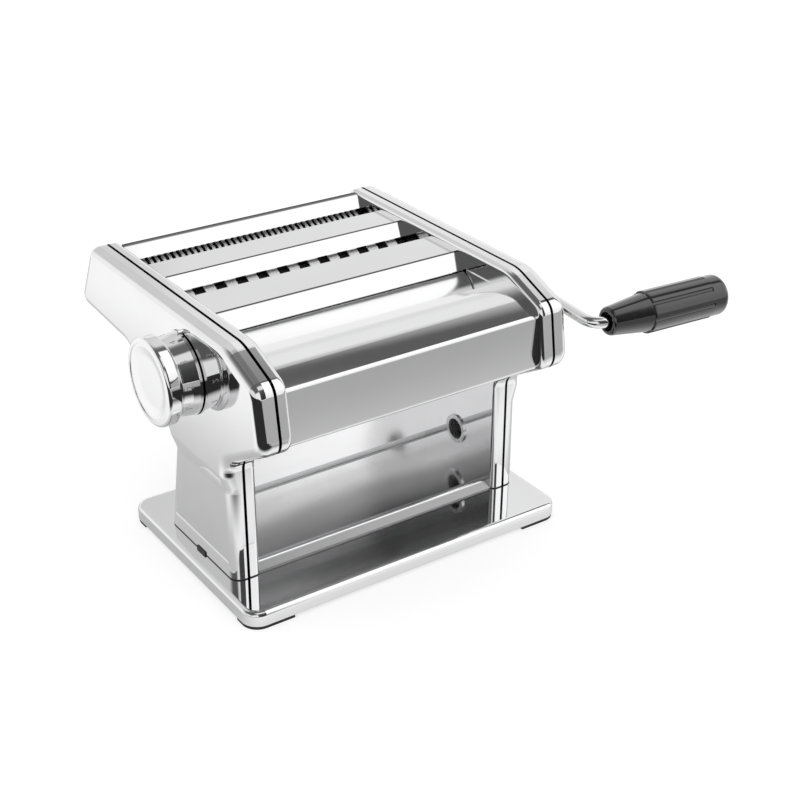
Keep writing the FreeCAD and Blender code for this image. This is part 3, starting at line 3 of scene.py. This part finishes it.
import bpy
import numpy as np
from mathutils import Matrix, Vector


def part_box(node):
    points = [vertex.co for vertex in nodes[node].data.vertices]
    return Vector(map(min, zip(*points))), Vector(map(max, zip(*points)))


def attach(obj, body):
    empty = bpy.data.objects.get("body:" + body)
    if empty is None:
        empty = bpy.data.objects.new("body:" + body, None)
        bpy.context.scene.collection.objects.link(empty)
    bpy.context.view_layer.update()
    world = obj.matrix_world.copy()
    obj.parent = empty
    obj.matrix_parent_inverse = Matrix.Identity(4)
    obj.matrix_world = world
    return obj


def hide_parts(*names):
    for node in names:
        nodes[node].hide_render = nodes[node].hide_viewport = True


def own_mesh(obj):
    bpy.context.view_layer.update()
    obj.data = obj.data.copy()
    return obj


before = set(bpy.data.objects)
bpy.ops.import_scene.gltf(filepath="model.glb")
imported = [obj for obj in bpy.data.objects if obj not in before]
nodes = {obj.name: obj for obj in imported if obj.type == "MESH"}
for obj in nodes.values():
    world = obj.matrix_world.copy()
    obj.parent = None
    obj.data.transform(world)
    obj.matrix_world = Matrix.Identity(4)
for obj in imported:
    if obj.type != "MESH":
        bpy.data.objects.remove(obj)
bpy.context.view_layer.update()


# Base plate. A shallow tray pressed from one sheet of steel and chromed all over,
# with a rounded top edge. The legs stand on it and are screwed down from below.
class Signal:
    """An output socket of a shader tree; arithmetic on signals adds Math nodes to that tree."""

    def __init__(self, tree, socket=None):
        self.tree = tree
        self.socket = socket

    def node(self, kind, settings=None, output=0, **sockets):
        """Add a node of a kind: its settings first, then its sockets.

        A socket goes by its name, with _ for a space, or by its number after a _.
        """
        made = self.tree.nodes.new(f"ShaderNode{kind}")
        for name, value in (settings or {}).items():
            if name == "stops":
                ramp = made.color_ramp.elements
                for place, _ in value[len(ramp):]:
                    ramp.new(place)
                for stop, (place, level) in zip(ramp, value):
                    stop.position = place
                    stop.color = (level, level, level, 1)
            else:
                setattr(made, name, value)
        for name, value in sockets.items():
            key = int(name[1:]) if name[0] == "_" else name.replace("_", " ")
            if isinstance(value, Signal):
                self.tree.links.new(value.socket, made.inputs[key])
            else:
                made.inputs[key].default_value = value
        return Signal(self.tree, made.outputs[output] if made.outputs else None)

    def math(self, operation, first, second):
        """A Math node on two values or signals."""
        return self.node("Math", {"operation": operation}, _0=first, _1=second)

    def __add__(self, other):
        return self.math("ADD", self, other)

    def __radd__(self, other):
        return self.math("ADD", other, self)

    def __sub__(self, other):
        return self.math("SUBTRACT", self, other)

    def __rsub__(self, other):
        return self.math("SUBTRACT", other, self)

    def __mul__(self, other):
        return self.math("MULTIPLY", self, other)

    def __rmul__(self, other):
        return self.math("MULTIPLY", other, self)

    def rise(self, low, high):
        """0 below low, 1 above high, and a smooth rise between them."""
        smooth = {"interpolation_type": "SMOOTHSTEP"}
        return self.node("MapRange", smooth, Value=self, From_Min=low, From_Max=high)

    def mixed(self, low, high):
        """A colour between two, by this signal."""
        return self.node("Mix", {"data_type": "RGBA"}, output=2, _0=self, _6=low, _7=high)

    def place(self, axis, kind="Object"):
        """One coordinate of the point, or of its normal."""
        return self.node("SeparateXYZ", Vector=self.node("TexCoord", output=kind), output=axis)

    def noise(self, scale, detail, stretch=(1, 1, 1)):
        """Grain at a scale per metre on the piece's own place, drawn out along the axes."""
        point = self.node("TexCoord", output="Object")
        drawn = self.node("Mapping", Vector=point, Scale=stretch)
        return self.node("TexNoise", Vector=drawn, Scale=scale, Detail=detail)

    def bump(self, depth, strength=1.0):
        """A normal tilted by this signal as a height, where 1 stands depth metres proud."""
        return self.node("Bump", Height=self, Strength=strength, Distance=depth)


def blank(owner):
    """Empty the shader tree of a material or a world, and give a signal to start from."""
    owner.use_nodes = True
    owner.node_tree.nodes.clear()
    return Signal(owner.node_tree)


def finish(name, build, **fixed):
    """A material on one Principled shader: build gives the sockets that vary, fixed the rest."""
    material = bpy.data.materials.new(name)
    start = blank(material)
    shader = start.node("BsdfPrincipled", **fixed, **build(start))
    start.node("OutputMaterial", Surface=shader)
    return material


def dress(material, *names):
    """Give CAD nodes one material in place of their own."""
    for name in names:
        slots = nodes[name].data.materials
        slots.clear()
        slots.append(material)


def grey(value):
    """A neutral colour, a trace bluer than even."""
    return (value, value, value * 1.005, 1)


chrome_tones = grey(0.80), grey(0.86)


def chrome(start):
    """Mirror chrome: faint smears in the gloss and the slight waves of pressed sheet."""
    smear = start.noise(scale=35, detail=4)
    waves = start.noise(scale=18, detail=1)
    return {
        "Base_Color": smear.mixed(*chrome_tones),
        "Roughness": 0.015 + 0.05 * smear,
        "Normal": waves.bump(0.0001, strength=0.25),
    }


bright_chrome = finish("bright_chrome", chrome, Metallic=1.0)
dress(bright_chrome, "base_plate")

# Rubber feet. Black pads moulded in rubber and pressed into the corners of the tray,
# so that the machine grips the table.
black_tones = grey(0.012), grey(0.03)


def rubber(start):
    """Moulded rubber: a fine grain in its colour, gloss and height."""
    grain = start.noise(scale=900, detail=3)
    return {
        "Base_Color": grain.mixed(*black_tones),
        "Roughness": 0.65 + 0.25 * grain,
        "Normal": grain.bump(0.0003, strength=0.3),
    }


dress(finish("black_rubber", rubber), "rubber_feet")

# Side frames and covers. Each side is two pans pressed from steel sheet and chromed outside, set
# mouth to mouth with a narrow gap between their edges; they stand on the tray. Their inner faces
# are painted near black as the shade in the gap between them, and a band of painted shade runs
# along the foot of each, where it meets the tray.
body_middle = (0.008, 0.117)
wall_turned_in = (0.001, 0.003)
floor_turned_in = (0.03, 0.06)
foot_shade_band = (0.0104, 0.0109)
# Near black: the painted shade inside the gap and along the foot.
gap_shade_tone = grey(0.05)


def pan(inward):
    """Chrome outside; the inner faces, and a band along the foot, painted near black as shade.

    A wall's inner face has a normal that points back at the middle of the body, and the inner
    face of a pan's floor one that points along x the way that inward says.
    """

    def build(start):
        look = chrome(start)
        outward = sum(
            start.place(axis, "Normal") * (start.place(axis) - centre)
            for axis, centre in zip("YZ", body_middle)
        )
        sideways = start.place("X", "Normal") * start.place("X") * inward
        wall_inside = (-1 * outward).rise(*wall_turned_in)
        inside = start.math("MAXIMUM", wall_inside, sideways.rise(*floor_turned_in))
        # The band along the foot is painted shade, where the legs stand on the tray.
        foot_shade = 1 - start.place("Z").rise(*foot_shade_band)
        painted_shade = start.math("MAXIMUM", inside, foot_shade)
        # Painted shade: the inner faces and the foot band go near black and rougher.
        look["Base_Color"] = painted_shade.mixed(look["Base_Color"], gap_shade_tone)
        look["Roughness"] = look["Roughness"] + 0.5 * painted_shade
        return look

    return build


dress(finish("frame_chrome", pan(1), Metallic=1.0), "left_side_frame", "right_side_frame")
dress(finish("cover_chrome", pan(-1), Metallic=1.0), "left_cover", "right_cover")


# Cover clips. Small tongues moulded in black plastic,
# pushed under the feet of the covers to hold them down.
def matt_black(start):
    """Moulded plastic: a soft cloud in its colour and gloss."""
    cloud = start.noise(scale=500, detail=3)
    return {"Base_Color": cloud.mixed(*black_tones), "Roughness": 0.4 + 0.2 * cloud}


dress(finish("clip_plastic", matt_black), "cover_clips")

# Dough chute. One bent sheet of polished steel between the legs, with a raised floor and a
# leaning back; drawing and bending leave it slightly wavy along its length.
lip_top = (0.0138, 0.0146)
crease_foot = (0.01545, 0.01565)
crease_height = 0.0175
crease_top = (crease_height, crease_height + 0.0006)
back_bow = -0.176
wave_depth = 0.0006
streak_depth = 0.000005
sheet_tones = grey(0.90), grey(0.95)
# Mid-grey of the lip's edge: a painted reflection.
lip_painted_grey = grey(0.36)


def chute_sheet(start):
    """Polished sheet: long shallow waves along x, fine streaks the same way.

    Above its crease the back is satin and falls away with height, by a slope; the lip's edge is
    painted mid-grey, a painted reflection of dark, and made rougher; the bend along the crease is
    made diffuse white, painted light where the mirror shows dark.
    """
    along_x = (0.25, 1, 1)
    far_along_x = (0.02, 1, 1)
    waves = start.noise(scale=26, detail=1, stretch=along_x)
    streaks = start.noise(scale=420, detail=3, stretch=far_along_x)
    smear = start.noise(scale=30, detail=3)
    height = start.place("Z")
    lip = 1 - height.rise(*lip_top)
    back = height.rise(*crease_top)
    bend = height.rise(*crease_foot) * (1 - back)
    bow = back_bow * start.math("MAXIMUM", height - crease_height, 0.0)
    relief = bow + wave_depth * waves + streak_depth * streaks
    return {
        # Painted reflection: the lip's edge is mid-grey.
        "Base_Color": lip.mixed(smear.mixed(*sheet_tones), lip_painted_grey),
        # Painted light: the bend along the crease loses its mirror and shows diffuse white.
        "Metallic": 1 - 0.9 * bend,
        "Roughness": 0.05 + 0.05 * smear + 0.05 * streaks + 0.15 * lip + 0.1 * back,
        "Normal": relief.bump(1.0),
    }


dress(finish("chute_steel", chute_sheet), "dough_chute")

# Clamp socket. A flanged steel sleeve, zinc plated and pressed into the right leg;
# the rod of a table clamp goes into it.
zinc_tones = grey(0.76), grey(0.86)


def plated(start):
    """Zinc plating: a soft cloud in its colour and gloss."""
    cloud = start.noise(scale=250, detail=3)
    return {"Base_Color": cloud.mixed(*zinc_tones), "Roughness": 0.22 + 0.1 * cloud}


dress(finish("plated_steel", plated, Metallic=0.88), "clamp_socket")

# Smooth rollers. Turned and polished aluminium tubes, geared to each other;
# the front one is fixed on a driven shaft, and the rear one runs on the eccentric axle.
roller_tones = grey(0.74), grey(0.82)


def turned(start):
    """Turned metal: fine rings round x."""
    rings = start.noise(scale=2500, detail=2, stretch=(1, 0.01, 0.01))
    smear = start.noise(scale=60, detail=3)
    return {
        "Base_Color": smear.mixed(*roller_tones),
        "Roughness": 0.10 + 0.08 * smear + 0.05 * rings,
        "Normal": rings.bump(0.0001, strength=0.1),
    }


dress(finish("turned_metal", turned, Metallic=1.0), "front_roller", "rear_roller")

# Cutters. Aluminium shafts turned with square grooves, so that the rings of one run in the
# grooves of the other;
# tumbling brightens the rings, and the grooves are painted dark as the shade deep in them.
groove_edge = (0.0108, 0.0115)
# The dark of the grooves is painted shade.
groove_painted_shade = grey(0.06)
ring_tones = grey(0.88), grey(0.95)


def tumbled(axis):
    """Satin rings and grooves painted dark as shade, told apart by the square of the distance
    from the axis.
    """

    def build(start):
        pits = start.noise(scale=1500, detail=2)
        smear = start.noise(scale=90, detail=3)
        away = [start.place(name) - centre for name, centre in zip("YZ", axis)]
        ring = sum(step * step for step in away).rise(*(edge**2 for edge in groove_edge))
        return {
            # Painted shade: the grooves go dark.
            "Base_Color": ring.mixed(groove_painted_shade, smear.mixed(*ring_tones)),
            "Roughness": 0.36 + 0.1 * smear,
            "Normal": pits.bump(0.0001, strength=0.1),
        }

    return build


for name in ("wide_cutter_front", "wide_cutter_rear", "fine_cutter_front", "fine_cutter_rear"):
    centre = np.mean(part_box(name), axis=0).tolist()
    dress(finish(f"{name}_metal", tumbled(centre[1:]), Metallic=0.55), name)

# Works behind the covers. Shafts, gears, bridge, tie rods and screws of plain machined steel;
# the rods and screws draw the two sides together, and the bridge carries the axle's far end.
steel_tones = grey(0.42), grey(0.55)


def machined(start):
    """Bare machined steel: smears in its colour and gloss."""
    smear = start.noise(scale=150, detail=4)
    return {"Base_Color": smear.mixed(*steel_tones), "Roughness": 0.28 + 0.2 * smear}


machined_steel = finish("machined_steel", machined, Metallic=1.0)
dress(
    machined_steel,
    "front_roller_shaft", "eccentric_axle", "front_roller_gear", "rear_roller_gear",
    "wide_front_gear", "wide_rear_gear", "fine_front_gear", "fine_rear_gear",
    "gear_bridge", "gear_bridge_pillars", "tie_rods", "tie_rod_screws", "base_screws",
)

# Scrapers and combs. Thin strips stamped from cold rolled spring steel and held between the
# side frames; scrapers keep the dough off the smooth rollers, and combs lie in the grooves.
blade_tones = grey(0.74), grey(0.84)


def stamped(start):
    """Cold rolled strip: fine lines along x in its colour and gloss."""
    lines = start.noise(scale=600, detail=3, stretch=(0.02, 1, 1))
    return {"Base_Color": lines.mixed(*blade_tones), "Roughness": 0.35 + 0.2 * lines}


dress(
    finish("blade_steel", stamped, Metallic=0.4),
    "wide_front_comb", "wide_rear_comb", "fine_front_comb", "fine_rear_comb",
    "front_scraper", "rear_scraper",
)

# Bushes and socket rings. Sleeves moulded in white bearing plastic: flanged ones pressed into
# the side frames and the right cover, and plain ones that float inside the rear roller.
nylon_tones = (0.78, 0.77, 0.73, 1), (0.86, 0.85, 0.82, 1)


def nylon(start):
    """Bearing plastic: a soft cloud in its colour and gloss."""
    cloud = start.noise(scale=200, detail=3)
    return {"Base_Color": cloud.mixed(*nylon_tones), "Roughness": 0.4 + 0.15 * cloud}


dress(
    finish("bearing_plastic", nylon),
    "axle_bush", "front_roller_bushes", "cutter_bushes", "rear_roller_bushes",
    "drive_socket_rings",
)

# Bars, rear wall and end cheeks. Polished stainless sheet, bent into lips over the rollers and
# held between the side frames; the grain of the rolling runs along x.
stainless_tones = grey(0.78), grey(0.83)
# The dark of a painted reflection along folds and edges.
fold_painted_dark = grey(0.12)
bar_line = 0.0007
crest_line = 0.0013
top_band = 0.0001


def rolled(start):
    """Polished rolled sheet: fine lines along x blur what it mirrors up and down."""
    lines = start.noise(scale=700, detail=3, stretch=(0.012, 1, 1))
    smear = start.noise(scale=28, detail=3)
    return {
        "Base_Color": smear.mixed(*stainless_tones),
        "Roughness": 0.04 + 0.05 * smear + 0.03 * lines,
        "Normal": lines.bump(0.0001, strength=0.08),
    }


def edged(axis, edge, width):
    """Rolled sheet with a line painted dark, as wide as given each way, at a fold or a cut edge:
    a painted reflection of the dark its rounding mirrors.
    """

    def build(start):
        look = rolled(start)
        away = start.place(axis) - edge
        line = 1 - (away * away).rise((width / 2) ** 2, width**2)
        # Painted reflection: a dark line along the fold or edge.
        look["Base_Color"] = line.mixed(look["Base_Color"], fold_painted_dark)
        return look

    return build


def points_of(mesh):
    """The points of a mesh as rows of x, y and z."""
    points = np.empty(3 * len(mesh.vertices))
    mesh.vertices.foreach_get("co", points)
    return points.reshape(-1, 3)


dress(finish("rolled_sheet", rolled, Metallic=1.0), "roller_end_cheeks")
for name in ("front_bar", "rear_bar"):
    _, along, height = points_of(nodes[name].data).T
    fold = float(along[height > height.max() - top_band].min())
    dress(finish(f"{name}_sheet", edged("Y", fold, bar_line), Metallic=1.0), name)
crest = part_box("rear_wall")[1].z
dress(finish("rear_wall_sheet", edged("Z", crest, crest_line), Metallic=1.0), "rear_wall")

# Front cover. The same sheet, rolled over the front roller and folded down into an apron;
# its slope bulges a little towards the fold, as sheet does beside a press brake's bend.
slope_start = -0.0549
bulge = 3.8


def hood_sheet(start):
    """Rolled sheet whose slope falls away as the square of the distance from its start."""
    look = rolled(start)
    past = start.math("MAXIMUM", slope_start - start.place("Y"), 0.0)
    look["Normal"] = (-bulge * (past * past)).bump(1.0)
    return look


dress(finish("hood_sheet", hood_sheet, Metallic=1.0), "front_cover")

# Thickness knob. Turned, chromed steel: a tapered skirt, a waist and a broad rim round a dished
# satin face; a screw behind the face holds it on the axle, and a chromed stud on the cover
# marks the setting.
face_tones = grey(0.86), grey(0.92)


def spun(start):
    """Satin face: a soft cloud in its colour and gloss."""
    cloud = start.noise(scale=60, detail=3)
    return {"Base_Color": cloud.mixed(*face_tones), "Roughness": 0.24 + 0.08 * cloud}


dress(bright_chrome, "thickness_knob", "knob_index")
dress(machined_steel, "knob_screw")
dress(finish("satin_metal", spun, Metallic=1.0), "knob_face")

# Knob spring. A coil wound of plated steel wire between the knob's web and the screw's head;
# it closes up as the knob is drawn out, and pushes the knob home again.
axle = (0.0019, 0.1163)
wire_radius = 0.0007
coil_radius = 0.007
coil_turns = 3
coil_low, coil_high = (corner[0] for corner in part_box("knob_spring"))


def wound(steps=96, sides=12):
    """The wire's circle swept round the axle, with a flat face to close each end.

    The turn grows evenly along x, and the circle stands in the plane of the axle and the radius.
    """
    part = np.linspace(0, 1, steps + 1)[:, None]
    round_wire = np.linspace(0, 2 * np.pi, sides, endpoint=False)[None, :]
    turn = 2 * np.pi * coil_turns * part
    place = coil_high - wire_radius - (coil_high - coil_low - 2 * wire_radius) * part
    radius = coil_radius + wire_radius * np.cos(round_wire)
    grid = np.stack(
        [
            place + wire_radius * np.sin(round_wire),
            axle[0] + radius * np.cos(turn),
            axle[1] - radius * np.sin(turn),
        ],
        axis=2,
    )
    first = np.arange(steps * sides).reshape(steps, sides)
    beside = np.roll(first, -1, axis=1)
    walls = np.stack([first, first + sides, beside + sides, beside], axis=2).reshape(-1, 4)
    ends = [list(range(sides)), list(range((steps + 1) * sides - 1, steps * sides - 1, -1))]
    return grid.reshape(-1, 3).tolist(), walls.tolist() + ends


def fitted(name, points, faces, material):
    """A new object at the origin, with its place in its mesh."""
    mesh = bpy.data.meshes.new(name)
    mesh.from_pydata(points, [], faces)
    mesh.materials.append(material)
    piece = bpy.data.objects.new(name, mesh)
    bpy.context.scene.collection.objects.link(piece)
    return piece


spring_coil = fitted("spring_coil", *wound(), machined_steel)
spring_coil.data.shade_smooth()
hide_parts("knob_spring")
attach(spring_coil, "eccentric_axle")
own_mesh(spring_coil)

# Dial digits. The settings 1 to 6, marked round the skirt of the knob and left matt;
# they are a tenth of a turn apart, with 4 nearest the stud.
dial_settings = range(1, 7)
setting_at_stud = 4
digit_height = 0.0052
digit_proud = 0.00006
digit_thinned = -0.00008
digit_place = -0.1008
digit_step = math.radians(36)
digit_turn = math.radians(12)
skirt_radius = 0.0216
skirt_fall = 0.146
skirt_back = -0.0958
digit_tones = grey(0.28), grey(0.36)


def marked(figure):
    """One digit as flat text, wrapped on the skirt.

    Its x runs round the axle and its y along it, off the cover; the skirt's radius falls evenly
    from its back.
    """
    text = bpy.data.curves.new("digit", "FONT")
    text.body = str(figure)
    text.size = digit_height
    text.align_x = "CENTER"
    text.align_y = "CENTER"
    text.extrude = digit_proud
    text.offset = digit_thinned
    flat = bpy.data.meshes.new_from_object(bpy.data.objects.new("digit", text))
    across, along, proud = points_of(flat).T
    place = digit_place - along
    radius = skirt_radius - skirt_fall * (skirt_back - place) + proud
    turn = digit_turn + digit_step * (setting_at_stud - figure) - across / skirt_radius
    wrapped = [place, axle[0] - radius * np.sin(turn), axle[1] + radius * np.cos(turn)]
    return np.stack(wrapped, axis=1), [list(face.vertices) for face in flat.polygons]


def matt_grey(start):
    """Matt marking: a fine cloud in its colour and gloss."""
    cloud = start.noise(scale=900, detail=2)
    return {"Base_Color": cloud.mixed(*digit_tones), "Roughness": 0.5 + 0.2 * cloud}


points, faces = [], []
for figure in dial_settings:
    wrapped, around = marked(figure)
    faces += [[corner + len(points) for corner in face] for face in around]
    points += wrapped.tolist()
dial_digits = fitted("dial_digits", points, faces, finish("matt_grey", matt_grey))
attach(dial_digits, "knob")

# Crank. One steel rod, bent and chromed, with a pin across its end;
# it plugs into a drive socket, and draws out by hand.
dress(bright_chrome, "crank_rod")

# Grip and cap. Gloss black plastic, moulded; the grip turns on the crank's rod,
# and the cap snaps on its end.
gloss_tones = grey(0.010), grey(0.018)


def gloss_black(start):
    """Gloss plastic: a faint cloud in its colour, gloss and height."""
    cloud = start.noise(scale=300, detail=3)
    return {
        "Base_Color": cloud.mixed(*gloss_tones),
        "Roughness": 0.06 + 0.06 * cloud,
        "Normal": cloud.bump(0.0002, strength=0.05),
    }


dress(finish("grip_plastic", gloss_black, Coat_Weight=1.0), "crank_grip", "grip_cap")

# Floor. A plain white sweep; metal sees it bright beside the machine, dimmer ahead of it and in
# its shade, and dark at the left in front, where the camera stands.
floor_reach = 6.0
white_level = 0.64
paper_tone = grey(0.47)
dark_tone = grey(0.03)
wide_glow, wide_glow_end = 0.42, (0.14, 0.32)
close_glow, close_glow_end = 0.2, (0.11, 0.18)
shade_depth, shade_side, shade_end = 0.4, (-0.22, -0.13), (0.04, 0.09)
camera_left, camera_ahead = 0.535, 0.845
dark_start = (0.12, 0.21)
dark_side = (0.09, 0.15)
white_sweep = bpy.data.materials.new("floor_white")
start = blank(white_sweep)
seen = start.node("LightPath", output="Is Camera Ray")
mirrored = start.node("LightPath", output="Is Glossy Ray")
sideways, ahead = start.place("X"), -1 * start.place("Y")
near = wide_glow * (1 - ahead.rise(*wide_glow_end))
near = near + close_glow * (1 - ahead.rise(*close_glow_end))
shade = shade_depth * sideways.rise(*shade_side) * (1 - ahead.rise(*shade_end))
toward = (camera_ahead * ahead - camera_left * sideways).rise(*dark_start)
beside = (camera_ahead * sideways + camera_left * ahead).rise(*dark_side)
dark = mirrored * toward * (1 - beside)
strength = white_level * seen + (near - shade) * mirrored * (1 - dark)
glow = start.node("Emission", Color=(1, 1, 1, 1), Strength=strength)
paper = start.node("BsdfDiffuse", Color=dark.mixed(paper_tone, dark_tone))
start.node("OutputMaterial", Surface=start.node("AddShader", _0=glow, _1=paper))
corners = [(x * floor_reach, y * floor_reach, 0) for x, y in ((-1, -1), (1, -1), (1, 1), (-1, 1))]
fitted("floor", corners, [(0, 1, 2, 3)], white_sweep)

# Studio. A white tent for all but mirrors; these see a pale back wall, a dark slot overhead, a
# large softbox to the right in front and a dim room before a pale wall to the left. Each wall is
# degrees and levels, from the back horizon over the top to the front one.
softbox = 1.3
right_wall = [
    (0, 1.02), (18, 1.02), (24, 0.88), (33, 0.88), (42, 0.96), (65, 0.98), (71, 0.5),
    (76, 0.12), (85, 0.12), (89, 1.3), (140, 1.3), (150, 1.15), (180, 1.0),
]
middle_wall = [
    (0, 1.02), (17, 1.0), (25, 0.68), (45, 0.75), (64, 0.75), (73, 0.24), (80, 0.14),
    (98, 0.14), (104, 0.85), (122, 0.85), (129, 0.12), (150, 0.06), (180, 0.03),
]
left_wall = [
    (0, 1.02), (25, 1.0), (45, 0.5), (60, 0.2), (75, 0.12), (128, 0.12), (140, 1.0), (180, 0.95),
]
right_lean, right_upright = 0.2, 0.47
right_edge = (0.33, 0.38)
back_shift, back_end = 0.03, (0.44, 0.47)
low_shift, low_start = 0.045, (0.88, 0.93)
left_edge = (-0.46, -0.30)
far_left_edge = (-0.92, -0.82)
far_left_tone = grey(0.65)
studio = bpy.data.worlds.new("studio")
bpy.context.scene.world = studio
start = blank(studio)
across, depth, height = (start.place(axis, "Generated") for axis in "XYZ")
turn = (1 / math.pi) * start.math("ARCTAN2", height, depth)


def wall(stops, along):
    """A ramp over the half turn, by degrees, with the softbox's level as its 1."""
    levels = [(angle / 180, level / softbox) for angle, level in stops]
    return start.node("ValToRGB", {"stops": levels}, Fac=along)


right = wall(right_wall, turn - right_lean * (across - right_upright))
middle = wall(middle_wall, turn)
left = wall(left_wall, turn)
edge = across - back_shift * (1 - turn.rise(*back_end)) - low_shift * turn.rise(*low_start)
tent = edge.rise(*right_edge).mixed(across.rise(*left_edge).mixed(left, middle), right)
tent = across.rise(*far_left_edge).mixed(far_left_tone, tent)
mirrored = start.node("LightPath", output="Is Glossy Ray")
light = mirrored.mixed((1, 1, 1, 1), tent)
sky = start.node("Background", Color=light, Strength=1 + (softbox - 1) * mirrored)
start.node("OutputWorld", Surface=sky)

# Camera. The photograph's place and angle, solved from the edges of the machine;
# a long lens on a sensor 36 mm wide.
camera_place = (-0.3874, -0.61224, 0.45353)
camera_turn = (62.3645, -0.3405, -34.5216)
lens = bpy.data.cameras.new("camera")
lens.sensor_width = 36.0
lens.lens = 67.517
camera = bpy.data.objects.new("camera", lens)
camera.location = camera_place
camera.rotation_euler = [math.radians(angle) for angle in camera_turn]
bpy.context.scene.collection.objects.link(camera)
bpy.context.scene.camera = camera
bpy.context.scene.view_settings.view_transform = "Standard"
